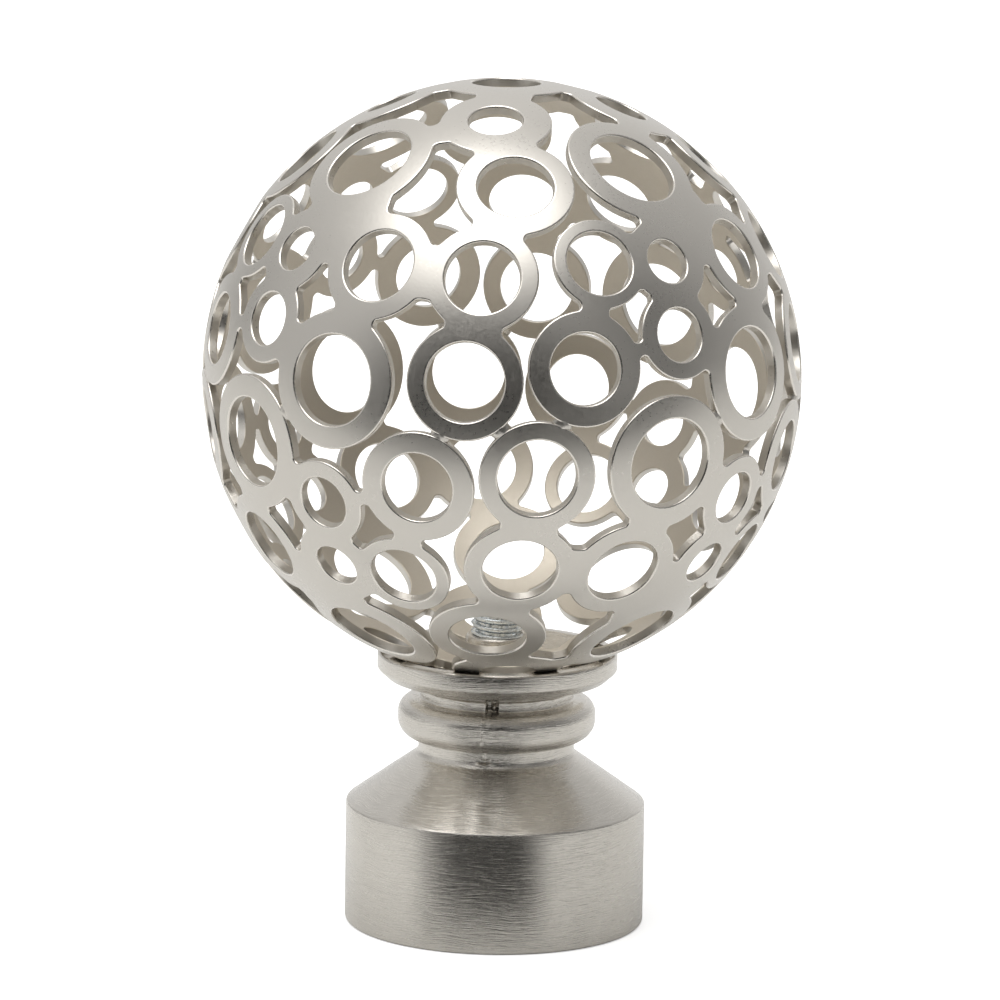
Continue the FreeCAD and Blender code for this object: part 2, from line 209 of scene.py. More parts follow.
def brushed_strokes():
    """A shader group: strokes that run round the Z axis, each a little uneven. Lengths are in metres."""
    group = bpy.data.node_groups.new("brushed_strokes", "ShaderNodeTree")
    face = group.interface
    face.new_socket("Length", in_out="INPUT", socket_type="NodeSocketFloat")
    face.new_socket("Width", in_out="INPUT", socket_type="NodeSocketFloat")
    face.new_socket("Waver", in_out="INPUT", socket_type="NodeSocketFloat")
    face.new_socket("Strokes", in_out="OUTPUT", socket_type="NodeSocketFloat")
    face.new_socket("Patches", in_out="OUTPUT", socket_type="NodeSocketFloat")
    given = group.nodes.new("NodeGroupInput").outputs
    end = group.nodes.new("NodeGroupOutput")
    place = node_after(group, "ShaderNodeTexCoord").outputs["Object"]
    drift = node_after(group, "ShaderNodeTexNoise", place)
    drift.inputs["Scale"].default_value = WAVER_SCALE
    drift.inputs["Detail"].default_value = 1.0
    centred = node_after(group, "ShaderNodeMath", drift.outputs["Fac"], 0.5, operation="SUBTRACT")
    lift = node_after(group, "ShaderNodeMath", centred.outputs[0], given["Waver"], operation="MULTIPLY")
    parts = node_after(group, "ShaderNodeSeparateXYZ", place).outputs
    height = node_after(group, "ShaderNodeMath", parts["Z"], lift.outputs[0], operation="ADD").outputs[0]
    along_x = node_after(group, "ShaderNodeMath", parts["X"], given["Length"], operation="DIVIDE")
    along_y = node_after(group, "ShaderNodeMath", parts["Y"], given["Length"], operation="DIVIDE")
    up = node_after(group, "ShaderNodeMath", height, given["Width"], operation="DIVIDE")
    vector = node_after(group, "ShaderNodeCombineXYZ", along_x.outputs[0], along_y.outputs[0], up.outputs[0])
    lines = node_after(group, "ShaderNodeTexNoise", vector.outputs[0])
    lines.inputs["Scale"].default_value = 1.0
    lines.inputs["Detail"].default_value = 3.0
    patches = node_after(group, "ShaderNodeTexNoise", place)
    patches.inputs["Scale"].default_value = PATCH_SCALE
    patches.inputs["Detail"].default_value = 2.0
    group.links.new(lines.outputs["Fac"], end.inputs["Strokes"])
    group.links.new(patches.outputs["Fac"], end.inputs["Patches"])
    return group


def brushed_nickel():
    """Nickel plate over a casting, brushed along its turns."""
    material = bpy.data.materials.new("brushed_nickel_casting")
    material.use_nodes = True
    tree = material.node_tree
    shader = tree.nodes["Principled BSDF"]
    strokes = tree.nodes.new("ShaderNodeGroup")
    strokes.node_tree = brushed_strokes()
    strokes.inputs["Length"].default_value = STROKE_LENGTH * MM
    strokes.inputs["Width"].default_value = STROKE_WIDTH * MM
    strokes.inputs["Waver"].default_value = STROKE_WAVER * MM
    lines = strokes.outputs["Strokes"]
    patches = strokes.outputs["Patches"]
    cloudy = node_after(tree, "ShaderNodeMath", spread(tree, patches, 0.0, PATCH_SHARE),
                        spread(tree, lines, 0.0, 1.0 - PATCH_SHARE), operation="ADD")
    shade = node_after(tree, "ShaderNodeMix", data_type="RGBA")
    tree.links.new(cloudy.outputs[0], shade.inputs["Factor"])
    for socket, share in zip(("A", "B"), STROKE_SHADES):
        shade.inputs[socket].default_value = (*(share * part for part in NICKEL), 1.0)
    tree.links.new(shade.outputs["Result"], shader.inputs["Base Color"])
    shader.inputs["Metallic"].default_value = 1.0
    tree.links.new(spread(tree, lines, *STROKE_ROUGHNESS), shader.inputs["Roughness"])
    shader.inputs["Anisotropic"].default_value = ANISOTROPY
    shader.inputs["Anisotropic Rotation"].default_value = ROUND_AND_ROUND
    bump = node_after(tree, "ShaderNodeBump")
    bump.inputs["Distance"].default_value = STROKE_DEPTH * MM
    bump.inputs["Strength"].default_value = STROKE_STRENGTH
    tree.links.new(lines, bump.inputs["Height"])
    tree.links.new(bump.outputs["Normal"], shader.inputs["Normal"])
    around = node_after(tree, "ShaderNodeTangent", direction_type="RADIAL", axis="Z")
    tree.links.new(around.outputs["Tangent"], shader.inputs["Tangent"])
    return material


longitudes = []
longitude = SEAM - SEAM_REACH
while longitude < SEAM - SEAM_REACH + 360.0:
    longitudes.append(longitude)
    fine = longitude < SEAM + SEAM_REACH or abs(longitude - SEAM - 180.0) < BACK_REACH
    longitude += SEAM_STEP if fine else TURN_STEP
casting = turned("turned_base", casting_outline(), longitudes, casting_flaw)
casting.data.materials.append(brushed_nickel())
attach(casting, "root")
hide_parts("base_casting")

# Threaded stud: zinc-plated steel, screwed into the boss of the casting, with an M6 thread of 1 mm
# pitch. It stands a few turns proud inside the ball.

# Thread and tip in millimetres, sides of the core and of each turn of the thread, and the plating
THREAD_PITCH = 1.0
THREAD_DEPTH = 0.6
THREAD_CREST = 0.14
THREAD_SINK = 0.01
STUD_TIP = 0.5
CORE_SIDES = 48
TURN_SIDES = 40
ZINC_SHADES = ((0.68, 0.72, 0.74), (0.82, 0.86, 0.88))
ZINC_ROUGHNESS = (0.14, 0.3)
ZINC_GRAIN = 2400.0


def screw_thread():
    """Nodes for a screw thread: a helix round the Z axis with a blunt triangular ridge."""
    tree = bpy.data.node_groups.new("screw_thread", "GeometryNodeTree")
    face = tree.interface
    face.new_socket("Thread", in_out="OUTPUT", socket_type="NodeSocketGeometry")
    for name in ("Root Radius", "Low", "Length", "Pitch", "Depth", "Crest"):
        face.new_socket(name, in_out="INPUT", socket_type="NodeSocketFloat")
    face.new_socket("Finish", in_out="INPUT", socket_type="NodeSocketMaterial")
    given = tree.nodes.new("NodeGroupInput").outputs
    end = tree.nodes.new("NodeGroupOutput")
    turns = node_after(tree, "ShaderNodeMath", given["Length"], given["Pitch"], operation="DIVIDE")
    helix = node_after(tree, "GeometryNodeCurveSpiral", TURN_SIDES, turns.outputs[0], given["Root Radius"],
                       given["Root Radius"], given["Length"])
    foot = node_after(tree, "ShaderNodeCombineXYZ", 0.0, 0.0, given["Low"])
    placed = node_after(tree, "GeometryNodeTransform", helix.outputs["Curve"])
    tree.links.new(foot.outputs["Vector"], placed.inputs["Translation"])
    upright = node_after(tree, "GeometryNodeSetCurveNormal", placed.outputs["Geometry"], mode="Z_UP")
    section = node_after(tree, "GeometryNodeCurvePrimitiveQuadrilateral", mode="TRAPEZOID")
    tree.links.new(given["Pitch"], section.inputs["Bottom Width"])
    tree.links.new(given["Crest"], section.inputs["Top Width"])
    tree.links.new(given["Depth"], section.inputs["Height"])
    section.inputs["Offset"].default_value = 0.0
    ridge = node_after(tree, "GeometryNodeCurveToMesh", upright.outputs["Curve"], section.outputs["Curve"])
    ridge.inputs["Fill Caps"].default_value = True
    real = node_after(tree, "GeometryNodeRealizeInstances", ridge.outputs["Mesh"])
    finish = node_after(tree, "GeometryNodeSetMaterial", real.outputs["Geometry"])
    tree.links.new(given["Finish"], finish.inputs["Material"])
    tree.links.new(finish.outputs["Geometry"], end.inputs["Thread"])
    return tree


def grown(name, tree, values, points=()):
    """A plain mesh object from points and a geometry node tree, with its named inputs set."""
    start = bpy.data.meshes.new(name)
    start.from_pydata(points, [], [])
    holder = bpy.data.objects.new(name, start)
    bpy.context.scene.collection.objects.link(holder)
    nodes = holder.modifiers.new(name, "NODES")
    nodes.node_group = tree
    for item in tree.interface.items_tree:
        if item.in_out == "INPUT" and item.name in values:
            nodes[item.identifier] = values[item.name]
    view = bpy.context.evaluated_depsgraph_get()
    mesh = bpy.data.meshes.new_from_object(holder.evaluated_get(view))
    holder.modifiers.clear()
    holder.data = mesh
    return holder


def zinc_plate():
    """Bright zinc plate, a little blue, with a fine crystal grain."""
    material = bpy.data.materials.new("bright_zinc")
    material.use_nodes = True
    tree = material.node_tree
    shader = tree.nodes["Principled BSDF"]
    place = node_after(tree, "ShaderNodeTexCoord").outputs["Object"]
    grain = node_after(tree, "ShaderNodeTexNoise", place)
    grain.inputs["Scale"].default_value = ZINC_GRAIN
    shader.inputs["Metallic"].default_value = 1.0
    shade = node_after(tree, "ShaderNodeMix", data_type="RGBA")
    tree.links.new(spread(tree, grain.outputs["Fac"], 0.0, 1.0), shade.inputs["Factor"])
    for socket, colour in zip(("A", "B"), ZINC_SHADES):
        shade.inputs[socket].default_value = (*colour, 1.0)
    tree.links.new(shade.outputs["Result"], shader.inputs["Base Color"])
    tree.links.new(spread(tree, grain.outputs["Fac"], *ZINC_ROUGHNESS), shader.inputs["Roughness"])
    return material


stud_low, stud_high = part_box("stud")
stud_radius = stud_high.x / MM
root = stud_radius - THREAD_DEPTH
zinc = zinc_plate()
core_outline = [
    Vector((root, stud_low.z / MM)),
    Vector((root, stud_high.z / MM - STUD_TIP)),
    Vector((root - STUD_TIP / 2, stud_high.z / MM)),
]
core = turned("stud_core", core_outline, [index * 360 / CORE_SIDES for index in range(CORE_SIDES)])
core.data.materials.append(zinc)
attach(core, "root")
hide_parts("stud")
thread = grown("stud_thread", screw_thread(), {
    "Root Radius": (root + THREAD_DEPTH / 2 - THREAD_SINK) * MM,
    "Low": stud_low.z + THREAD_PITCH * MM / 2,
    "Length": stud_high.z - stud_low.z - (THREAD_PITCH + STUD_TIP / 2) * MM,
    "Pitch": THREAD_PITCH * MM,
    "Depth": THREAD_DEPTH * MM,
    "Crest": THREAD_CREST * MM,
    "Finish": zinc,
})
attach(thread, "root")

# Two half-shells of the ball: steel sheet pressed to a dome and pierced with overlapping rings, its
# edges rounded by tumbling, then plated in satin nickel. The lower one is the upper one turned over.

# Roundings of the outer and inner edge in millimetres, and the steps of each
OUTER_ROUND = 0.24
INNER_ROUND = 0.14
ROUND_STEPS = 4
# Distances in metres within which two points are one, and a point lies on the ball's outside
SAME_PLACE = 1e-7
ON_SPHERE = 1e-6
# Edges in millimetres and degrees: the shortest step, the least turn that is eased, the reach of the
# softening, and how far from the edge the points of the face begin
CLOSEST = 0.12
KINK = 12.0
SOFTENED = 0.32
CLEAR_OF_EDGE = 0.4
# Plating: the yellower inside, lightened there as painted light, the share of painted highlight on the rubbed
# edges, and the grain
INNER_LIT_NICKEL = (0.7, 0.645, 0.555)
EDGE_HIGHLIGHT_SHARE = 1.2
GRAIN_SIZE, CLOUD_SCALE = 0.35, 110.0
SATIN_ROUGHNESS, CLOUD_ROUGHNESS = (0.27, 0.37), (-0.02, 0.03)
INNER_DULL, EDGE_POLISH = 0.12, 0.12
GRAIN_DEPTH, GRAIN_STRENGTH = 0.02, 0.35


def eased(loop):
    """The loop with each kink cut back to the middles of its two edges, or less, and bowed between."""
    smooth = []
    for index, way in enumerate(loop):
        come = loop[index - 1] - way
        go = loop[(index + 1) % len(loop)] - way
        if come.angle(-go) < math.radians(KINK):
            smooth.append(way)
            continue
        cut = min(come.length, go.length) / 2
        start = way + come.normalized() * cut
        end = way + go.normalized() * cut
        smooth += [start.normalized(), ((start + end) / 4 + way / 2).normalized(), end.normalized()]
    apart = CLOSEST * MM / BALL_RADIUS / 2
    return [way for index, way in enumerate(smooth) if (way - smooth[index - 1]).length > apart]


def softened(loop):
    """The loop with each point drawn towards its near neighbours, so that its tight ends are round."""
    reach = SOFTENED * MM / BALL_RADIUS
    count = len(loop)
    steps = [(loop[(index + 1) % count] - way).length for index, way in enumerate(loop)]
    soft = []
    for index, way in enumerate(loop):
        total = way * (steps[index - 1] + steps[index])
        for side in (1, -1):
            away = 0.0
            at = index
            while True:
                away += steps[at] if side > 0 else steps[at - 1]
                at = (at + side) % count
                if away > 3 * reach or at == index:
                    break
                weight = math.exp(-(away / reach) ** 2 / 2) * (steps[at - 1] + steps[at])
                total += loop[at] * weight
        soft.append(total.normalized())
    return soft


def pierced_outline(node):
    """Edge loops of the sheet's outside, with the sheet on their left, and the points between them."""
    form = bmesh.new()
    form.from_mesh(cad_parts[node].data)
    bmesh.ops.remove_doubles(form, verts=form.verts, dist=SAME_PLACE)
    away = {vert.index: (vert.co - BALL_MIDDLE).length for vert in form.verts}
    outside = {index for index, length in away.items() if abs(length - BALL_RADIUS) < ON_SPHERE}
    ways = {vert.index: (vert.co - BALL_MIDDLE).normalized() for vert in form.verts}
    following = {}
    for face in form.faces:
        ring = [vert.index for vert in face.verts]
        if not outside.issuperset(ring):
            continue
        for edge in face.edges:
            other = [linked for linked in edge.link_faces if linked is not face][0]
            if outside.issuperset(vert.index for vert in other.verts):
                continue
            start, end = (vert.index for vert in edge.verts)
            if ring[(ring.index(start) + 1) % 3] != end:
                start, end = end, start
            following[start] = end
    between = [ways[index] for index in sorted(outside) if index not in following]
    form.free()
    loops = []
    while following:
        at = min(following)
        loop = []
        while at in following:
            if not loop or (ways[at] - loop[-1]).length * BALL_RADIUS > CLOSEST * MM:
                loop.append(ways[at])
            at = following.pop(at)
        loops.append(softened(eased(loop)))
    return loops, between, BALL_RADIUS - min(away.values())


def edge_section(thickness):
    """The rounded edge of the sheet, as inset, radius and the two parts of the normal at each point."""
    section = []
    for step in range(ROUND_STEPS + 1):
        turn = math.pi / 2 * step / ROUND_STEPS
        out, side = math.cos(turn), math.sin(turn)
        section.append((OUTER_ROUND * (1 - side) * MM, BALL_RADIUS - OUTER_ROUND * (1 - out) * MM, out, side))
    for step in range(ROUND_STEPS, -1, -1):
        turn = math.pi / 2 * step / ROUND_STEPS
        out, side = math.cos(turn), math.sin(turn)
        radius = BALL_RADIUS - thickness + INNER_ROUND * (1 - out) * MM
        section.append((INNER_ROUND * (1 - side) * MM, radius, -out, side))
    return section


def sheet_faces(flat, border):
    """Triangles of the sheet laid flat: those that can be reached from the left of its edges."""
    triangles = delaunay_2d_cdt(flat, border, [], 0, 1e-9)[2]
    owner = {}
    for index, triangle in enumerate(triangles):
        for start, end in zip(triangle, triangle[1:] + triangle[:1]):
            owner[start, end] = index
    fence = set(border) | {(end, start) for start, end in border}
    kept = set()
    reached = [owner[edge] for edge in border]
    while reached:
        index = reached.pop()
        if index in kept:
            continue
        kept.add(index)
        triangle = triangles[index]
        for start, end in zip(triangle, triangle[1:] + triangle[:1]):
            if (start, end) not in fence and (end, start) in owner:
                reached.append(owner[end, start])
    return [triangles[index] for index in sorted(kept)]


def pressed_sheet(node):
    """The pierced half-shell about its own middle: points, normals, edge wear with its painted highlight,
    inner side and faces.
    """
    loops, between, thickness = pierced_outline(node)
    section = edge_section(thickness)
    rows = len(section)
    verts, normals, worn_and_highlit, inside, faces = [], [], [], [], []
    outer, inner, flat, border = [], [], [], []
    for loop in loops:
        first = len(flat)
        count = len(loop)
        for index, way in enumerate(loop):
            along = (loop[(index + 1) % count] - loop[index - 1]).normalized()
            inward = way.cross(along).normalized()
            here = len(verts)
            there = here + rows if index + 1 < count else here - rows * (count - 1)
            for row, (inset, radius, out, side) in enumerate(section):
                turn = inset / radius
                leaning = way * math.cos(turn) + inward * math.sin(turn)
                verts.append(leaning * radius)
                normals.append((leaning * out - inward * side).normalized())
                # The middle rows of the outer rounding carry edge wear, which is smoother, and a painted
                # highlight in the colour
                worn_and_highlit.append(1.0 if 0 < row < ROUND_STEPS else 0.0)
                inside.append(1.0 if row > ROUND_STEPS + 1 else 0.0)
                if row + 1 < rows:
                    faces.append((here + row, here + row + 1, there + row + 1, there + row))
            outer.append(here)
            inner.append(here + rows - 1)
            flat.append(verts[here].normalized())
            border.append((first + index, first + (index + 1) % count))
    edges = KDTree(len(outer))
    for index, vert in enumerate(outer):
        edges.insert(verts[vert], index)
    edges.balance()
    for way in between:
        if edges.find(way * BALL_RADIUS)[2] > CLEAR_OF_EDGE * MM:
            for radius, out, ring in ((BALL_RADIUS, 1, outer), (BALL_RADIUS - thickness, -1, inner)):
                ring.append(len(verts))
                verts.append(way * radius)
                normals.append(way * out)
                worn_and_highlit.append(0.0)
                inside.append(float(out < 0))
            flat.append(way)
    flat = [Vector((way.x / (1 + way.z), way.y / (1 + way.z))) for way in flat]
    for triangle in sheet_faces(flat, border):
        faces.append(tuple(outer[index] for index in triangle))
        faces.append(tuple(inner[index] for index in reversed(triangle)))
    return verts, normals, worn_and_highlit, inside, faces


def pearly_grain():
    """A shader group: the fine grain of satin plate, with broad cloudy patches. Lengths are in metres."""
    group = bpy.data.node_groups.new("pearly_grain", "ShaderNodeTree")
    face = group.interface
    face.new_socket("Grain Size", in_out="INPUT", socket_type="NodeSocketFloat")
    face.new_socket("Grain", in_out="OUTPUT", socket_type="NodeSocketFloat")
    face.new_socket("Clouds", in_out="OUTPUT", socket_type="NodeSocketFloat")
    given = group.nodes.new("NodeGroupInput").outputs
    end = group.nodes.new("NodeGroupOutput")
    place = node_after(group, "ShaderNodeTexCoord").outputs["Object"]
    scale = node_after(group, "ShaderNodeMath", 1.0, given["Grain Size"], operation="DIVIDE")
    grain = node_after(group, "ShaderNodeTexNoise", place)
    group.links.new(scale.outputs[0], grain.inputs["Scale"])
    grain.inputs["Detail"].default_value = 3.0
    clouds = node_after(group, "ShaderNodeTexNoise", place)
    clouds.inputs["Scale"].default_value = CLOUD_SCALE
    clouds.inputs["Detail"].default_value = 2.0
    group.links.new(grain.outputs["Fac"], end.inputs["Grain"])
    group.links.new(clouds.outputs["Fac"], end.inputs["Clouds"])
    return group


def satin_nickel():
    """Nickel plate on smooth sheet: pearly outside, smoother on its rubbed edges with a painted highlight
    there, yellower inside and lightened there as painted light.
    """
    material = bpy.data.materials.new("satin_nickel_sheet")
    material.use_nodes = True
    tree = material.node_tree
    shader = tree.nodes["Principled BSDF"]
    finish = tree.nodes.new("ShaderNodeGroup")
    finish.node_tree = pearly_grain()
    finish.inputs["Grain Size"].default_value = GRAIN_SIZE * MM
    grain = finish.outputs["Grain"]
    edge = node_after(tree, "ShaderNodeAttribute", attribute_name="edge_wear_and_highlight").outputs["Fac"]
    shader.inputs["Metallic"].default_value = 1.0
    inner = node_after(tree, "ShaderNodeAttribute", attribute_name="inner_side").outputs["Fac"]
    # The inside gets a yellower nickel, lightened as painted light on the inside; it is also duller below
    faces = node_after(tree, "ShaderNodeMix", data_type="RGBA")
    tree.links.new(inner, faces.inputs["Factor"])
    faces.inputs["A"].default_value = (*NICKEL, 1.0)
    faces.inputs["B"].default_value = (*INNER_LIT_NICKEL, 1.0)
    # Painted highlight: the rubbed edges get a brighter nickel colour
    shade = node_after(tree, "ShaderNodeMix", data_type="RGBA")
    tree.links.new(edge, shade.inputs["Factor"])
    tree.links.new(faces.outputs["Result"], shade.inputs["A"])
    shade.inputs["B"].default_value = (*(EDGE_HIGHLIGHT_SHARE * part for part in NICKEL), 1.0)
    tree.links.new(shade.outputs["Result"], shader.inputs["Base Color"])
    satin = spread(tree, grain, *SATIN_ROUGHNESS)
    clouds = spread(tree, finish.outputs["Clouds"], *CLOUD_ROUGHNESS)
    cloudy = node_after(tree, "ShaderNodeMath", satin, clouds, operation="ADD")
    dull = node_after(tree, "ShaderNodeMath", inner, INNER_DULL, operation="MULTIPLY")
    rubbed = node_after(tree, "ShaderNodeMath", edge, EDGE_POLISH, operation="MULTIPLY")
    wear = node_after(tree, "ShaderNodeMath", dull.outputs[0], rubbed.outputs[0], operation="SUBTRACT")
    rough = node_after(tree, "ShaderNodeMath", cloudy.outputs[0], wear.outputs[0], operation="ADD")
    tree.links.new(rough.outputs[0], shader.inputs["Roughness"])
    bump = node_after(tree, "ShaderNodeBump")
    bump.inputs["Distance"].default_value = GRAIN_DEPTH * MM
    bump.inputs["Strength"].default_value = GRAIN_STRENGTH
    tree.links.new(grain, bump.inputs["Height"])
    tree.links.new(bump.outputs["Normal"], shader.inputs["Normal"])
    return material


sheet_finish = satin_nickel()
points, point_normals, edge_wear_and_highlight, inner_side, sheet = pressed_sheet("upper_half_shell")
for node, over in (("lower_half_shell", -1), ("upper_half_shell", 1)):
    mesh = bpy.data.meshes.new("pierced_" + node)
    mesh.from_pydata([BALL_MIDDLE + Vector((over * at.x, at.y, over * at.z)) for at in points], [], sheet)
    mesh.shade_smooth()
    mesh.normals_split_custom_set_from_vertices([(over * up.x, up.y, over * up.z) for up in point_normals])
    mesh.attributes.new("edge_wear_and_highlight", "FLOAT", "POINT").data.foreach_set("value", edge_wear_and_highlight)
    mesh.attributes.new("inner_side", "FLOAT", "POINT").data.foreach_set("value", inner_side)
    mesh.materials.append(sheet_finish)
    shell = bpy.data.objects.new("pierced_" + node, mesh)
    bpy.context.scene.collection.objects.link(shell)
    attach(shell, "root")
    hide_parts(node)

# Weld spots: small nuggets of melted sheet where a rim ring of one half touches one of the other.
# They were plated with the ball.

# Half length, half height and unevenness of a nugget in millimetres, and the ripples of its skin
WELD_LONG = 1.15
WELD_HIGH = 0.6
WELD_UNEVEN = 0.35
RIPPLE_SCALE = 900.0


def weld_nuggets():
    """Nodes for one uneven nugget at each point, flattened along the point's own outward direction."""
    tree = bpy.data.node_groups.new("weld_nuggets", "GeometryNodeTree")
    face = tree.interface
    face.new_socket("Nuggets", in_out="OUTPUT", socket_type="NodeSocketGeometry")
    face.new_socket("Spots", in_out="INPUT", socket_type="NodeSocketGeometry")
    for name in ("Long", "High", "Unevenness"):
        face.new_socket(name, in_out="INPUT", socket_type="NodeSocketFloat")
    face.new_socket("Middle", in_out="INPUT", socket_type="NodeSocketVector")
    face.new_socket("Finish", in_out="INPUT", socket_type="NodeSocketMaterial")
    given = tree.nodes.new("NodeGroupInput").outputs
    end = tree.nodes.new("NodeGroupOutput")
    drop = node_after(tree, "GeometryNodeMeshIcoSphere", 1.0, 4)
    place = tree.nodes.new("GeometryNodeInputPosition").outputs["Position"]
    out = node_after(tree, "ShaderNodeVectorMath", place, given["Middle"], operation="SUBTRACT")
    lean = node_after(tree, "FunctionNodeAlignRotationToVector", axis="Z")
    tree.links.new(out.outputs["Vector"], lean.inputs["Vector"])
    size = node_after(tree, "ShaderNodeCombineXYZ", given["Long"], given["Long"], given["High"])
    copies = node_after(tree, "GeometryNodeInstanceOnPoints", given["Spots"])
    tree.links.new(drop.outputs["Mesh"], copies.inputs["Instance"])
    tree.links.new(lean.outputs["Rotation"], copies.inputs["Rotation"])
    tree.links.new(size.outputs["Vector"], copies.inputs["Scale"])
    real = node_after(tree, "GeometryNodeRealizeInstances", copies.outputs["Instances"])
    ripple = node_after(tree, "ShaderNodeTexNoise", place)
    ripple.inputs["Scale"].default_value = RIPPLE_SCALE
    centred = node_after(tree, "ShaderNodeMath", ripple.outputs["Fac"], 0.5, operation="SUBTRACT")
    push = node_after(tree, "ShaderNodeMath", centred.outputs[0], given["Unevenness"], operation="MULTIPLY")
    normal = tree.nodes.new("GeometryNodeInputNormal").outputs["Normal"]
    shift = node_after(tree, "ShaderNodeVectorMath", normal, operation="SCALE")
    tree.links.new(push.outputs[0], shift.inputs["Scale"])
    uneven = node_after(tree, "GeometryNodeSetPosition", real.outputs["Geometry"])
    tree.links.new(shift.outputs["Vector"], uneven.inputs["Offset"])
    smooth = node_after(tree, "GeometryNodeSetShadeSmooth", uneven.outputs["Geometry"])
    finish = node_after(tree, "GeometryNodeSetMaterial", smooth.outputs["Geometry"])
    tree.links.new(given["Finish"], finish.inputs["Material"])
    tree.links.new(finish.outputs["Geometry"], end.inputs["Nuggets"])
    return tree


def weld_places():
    """The middle of each separate nugget of the frame's welds."""
    form = bmesh.new()
    form.from_mesh(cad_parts["seam_welds"].data)
    bmesh.ops.remove_doubles(form, verts=form.verts, dist=SAME_PLACE)
    left = set(form.verts)
    places = []
    while left:
        reached = [min(left, key=lambda vert: vert.index)]
        island = set()
        while reached:
            vert = reached.pop()
            if vert in island:
                continue
            island.add(vert)
            reached += [edge.other_vert(vert) for edge in vert.link_edges]
        left -= island
        spans = [[vert.co[axis] for vert in island] for axis in range(3)]
        places.append(Vector(((min(span) + max(span)) / 2 for span in spans)))
    form.free()
    return places


welds = grown("weld_spots", weld_nuggets(), {
    "Long": WELD_LONG * MM,
    "High": WELD_HIGH * MM,
    "Unevenness": WELD_UNEVEN * MM,
    "Middle": BALL_MIDDLE,
    "Finish": sheet_finish,
}, weld_places())
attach(welds, "root")
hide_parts("seam_welds")

# Studio: a white table, a large soft box overhead, pale walls at the sides and the dark of the room
# behind the camera, which the metal reflects. Everything shows as white to the camera.

# Camera in metres, millimetres and degrees, the table, and where its reflections turn to the painted shade of
# the dark room
CAMERA_PLACE = Vector((0.0, -0.799, 0.2074))
AIM = Vector((0.0, 0.0, 0.0505))
LENS, SENSOR, NEAREST = 250.0, 36.0, 0.01
LEAN = 0.9
TABLE_SIZE = 8.0
TABLE_WHITE = (0.88, 0.88, 0.87, 1.0)
ROOM_DARK = (0.02, 0.02, 0.02, 1.0)
ROOM_EDGE = (-0.22, -0.14)
TABLE_GLOW = 0.55
# Soft patches of the surroundings: azimuth and elevation of the middle, squeeze in height, angles at which
# the patch begins to fade and ends, and its strength on top of that of the walls
WALLS = 0.45
PATCHES = [
    ((-11.0, 6.0, 1.8, 26.0, 54.0), -0.41),
    ((-31.0, 72.0, 1.0, 13.0, 38.0), 1.75),
    ((-75.0, 30.0, 1.0, 10.0, 50.0), 0.2),
    ((95.0, 30.0, 1.0, 25.0, 65.0), -0.27),
    ((160.0, 40.0, 1.0, 20.0, 80.0), 0.4),
]
LAMP_PLACE, LAMP_AIM = Vector((-0.14, -0.16, 0.9)), Vector((0.0, 0.0, 0.06))
LAMP_SIZE, LAMP_POWER = (0.6, 0.5), 1.35


def table_top():
    """White laminate. It shows as white to the camera and keeps its shadow; in reflections only it turns
    black towards the front, as painted shade for the dark room.
    """
    material = bpy.data.materials.new("white_table")
    material.use_nodes = True
    tree = material.node_tree
    shader = tree.nodes["Principled BSDF"]
    rays = tree.nodes.new("ShaderNodeLightPath").outputs
    place = node_after(tree, "ShaderNodeTexCoord").outputs["Object"]
    parts = node_after(tree, "ShaderNodeSeparateXYZ", place).outputs
    # Painted shade in reflections: the table goes black between these two depths, for glossy rays only
    room = node_after(tree, "ShaderNodeMapRange", parts["Y"], *ROOM_EDGE, 1.0, 0.0).outputs["Result"]
    dark = node_after(tree, "ShaderNodeMath", room, rays["Is Glossy Ray"], operation="MULTIPLY").outputs[0]
    shade = node_after(tree, "ShaderNodeMix", data_type="RGBA")
    tree.links.new(dark, shade.inputs["Factor"])
    shade.inputs["A"].default_value = TABLE_WHITE
    shade.inputs["B"].default_value = ROOM_DARK
    tree.links.new(shade.outputs["Result"], shader.inputs["Base Color"])
    shader.inputs["Roughness"].default_value = 0.7
    shader.inputs["Specular IOR Level"].default_value = 0.2
    shader.inputs["Emission Color"].default_value = (1.0, 1.0, 1.0, 1.0)
    seen = node_after(tree, "ShaderNodeMath", rays["Is Camera Ray"], TABLE_GLOW, operation="MULTIPLY")
    tree.links.new(seen.outputs[0], shader.inputs["Emission Strength"])
    return material


bpy.ops.mesh.primitive_plane_add(size=TABLE_SIZE)
table = bpy.context.object
table.name = "table"
table.data.materials.append(table_top())

# Two black veils stand in front of the cup and the rim, out of the camera's sight, for the dark bands in
# their metal:
# an upright one, and a leaning one that the ball sees edge-on. They are painted shade, seen only in
# reflections.
VEIL_LEFT, VEIL_RIGHT = -0.052, 0.024
CORE_LEFT, CORE_RIGHT = -0.01, 0.007
VEIL_DENSITY = 0.94
VEIL_SHADE = (0.01, 0.01, 0.01, 1.0)
VEIL_EDGES = [(-0.03, 0.0), (-0.03, 0.0125), (-0.0285, 0.0258), (-0.027, 0.0335)]
VEIL_CORNERS = [(x, y, z) for y, z in VEIL_EDGES for x in (VEIL_LEFT, VEIL_RIGHT)]
black = bpy.data.materials.new("reflected_shade_veil")
black.use_nodes = True
veil_tree = black.node_tree
veil_shader = veil_tree.nodes["Principled BSDF"]
veil_shader.inputs["Base Color"].default_value = VEIL_SHADE
veil_place = node_after(veil_tree, "ShaderNodeTexCoord").outputs["Object"]
veil_x = node_after(veil_tree, "ShaderNodeSeparateXYZ", veil_place).outputs["X"]
from_left = node_after(veil_tree, "ShaderNodeMapRange", veil_x, VEIL_LEFT, CORE_LEFT, 0.0, VEIL_DENSITY,
                       interpolation_type="SMOOTHSTEP").outputs["Result"]
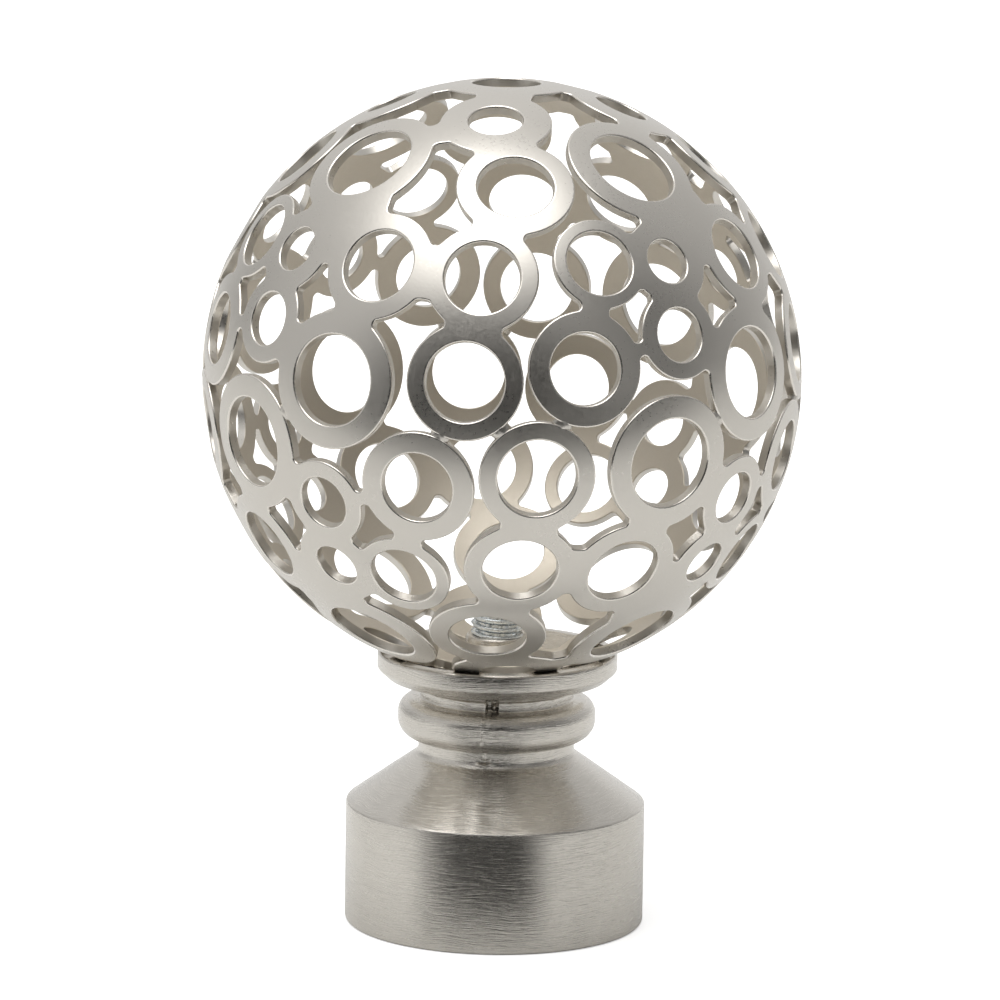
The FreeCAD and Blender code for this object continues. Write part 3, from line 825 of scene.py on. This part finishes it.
from_right = node_after(veil_tree, "ShaderNodeMapRange", veil_x, VEIL_RIGHT, CORE_RIGHT, 0.0, 1.0,
                        interpolation_type="SMOOTHSTEP").outputs["Result"]
thick = node_after(veil_tree, "ShaderNodeMath", from_left, from_right, operation="MULTIPLY").outputs[0]
veil_tree.links.new(thick, veil_shader.inputs["Alpha"])
veil_mesh = bpy.data.meshes.new("reflected_shade_veils")
veil_mesh.from_pydata(VEIL_CORNERS, [], [(0, 1, 3, 2), (4, 5, 7, 6)])
veil_mesh.materials.append(black)
veils = bpy.data.objects.new("reflected_shade_veils", veil_mesh)
bpy.context.scene.collection.objects.link(veils)
# Painted shade for reflections only: no camera, diffuse or shadow rays see the veils
veils.visible_camera = False
veils.visible_diffuse = False
veils.visible_shadow = False


def patch(tree, azimuth, elevation, squeeze, inner, outer):
    """A soft patch of the surroundings: 1 inside an angle from its middle, 0 outside another."""
    place = node_after(tree, "ShaderNodeTexCoord").outputs["Generated"]
    flat = node_after(tree, "ShaderNodeVectorMath", place, (1.0, 1.0, squeeze), operation="MULTIPLY")
    unit = node_after(tree, "ShaderNodeVectorMath", flat.outputs[0], operation="NORMALIZE")
    turn = math.radians(azimuth)
    rise = math.radians(elevation)
    level = math.cos(rise)
    aim = Vector((math.sin(turn) * level, -math.cos(turn) * level, math.sin(rise) * squeeze))
    near = node_after(tree, "ShaderNodeVectorMath", unit.outputs[0], tuple(aim.normalized()),
                      operation="DOT_PRODUCT")
    node = node_after(tree, "ShaderNodeMapRange", near.outputs["Value"], math.cos(math.radians(outer)),
                      math.cos(math.radians(inner)), 0.0, 1.0, interpolation_type="SMOOTHSTEP")
    return node.outputs["Result"]


world = bpy.data.worlds.new("studio")
bpy.context.scene.world = world
world.use_nodes = True
tree = world.node_tree
background = tree.nodes["Background"]
rays = tree.nodes.new("ShaderNodeLightPath").outputs
surroundings = WALLS
for spot, weight in PATCHES:
    part = node_after(tree, "ShaderNodeMath", patch(tree, *spot), weight, operation="MULTIPLY").outputs[0]
    surroundings = node_after(tree, "ShaderNodeMath", part, surroundings, operation="ADD").outputs[0]
strength = node_after(tree, "ShaderNodeMath", surroundings, rays["Is Camera Ray"], operation="MAXIMUM")
tree.links.new(strength.outputs[0], background.inputs["Strength"])
background.inputs["Color"].default_value = (1.0, 1.0, 1.0, 1.0)

lamp = bpy.data.lights.new("overhead_softbox", "AREA")
lamp.shape = "RECTANGLE"
lamp.size, lamp.size_y = LAMP_SIZE
lamp.energy = LAMP_POWER
light = bpy.data.objects.new("overhead_softbox", lamp)
light.location = LAMP_PLACE
light.rotation_euler = (LAMP_AIM - LAMP_PLACE).to_track_quat("-Z", "Y").to_euler()
bpy.context.scene.collection.objects.link(light)

lens = bpy.data.cameras.new("camera")
lens.lens = LENS
lens.sensor_width = SENSOR
lens.clip_start = NEAREST
camera = bpy.data.objects.new("camera", lens)
camera.location = CAMERA_PLACE
lean = Quaternion((0.0, 0.0, 1.0), math.radians(LEAN))
camera.rotation_euler = ((AIM - CAMERA_PLACE).to_track_quat("-Z", "Y") @ lean).to_euler()
bpy.context.scene.collection.objects.link(camera)
bpy.context.scene.camera = camera
bpy.context.scene.view_settings.view_transform = "Standard"
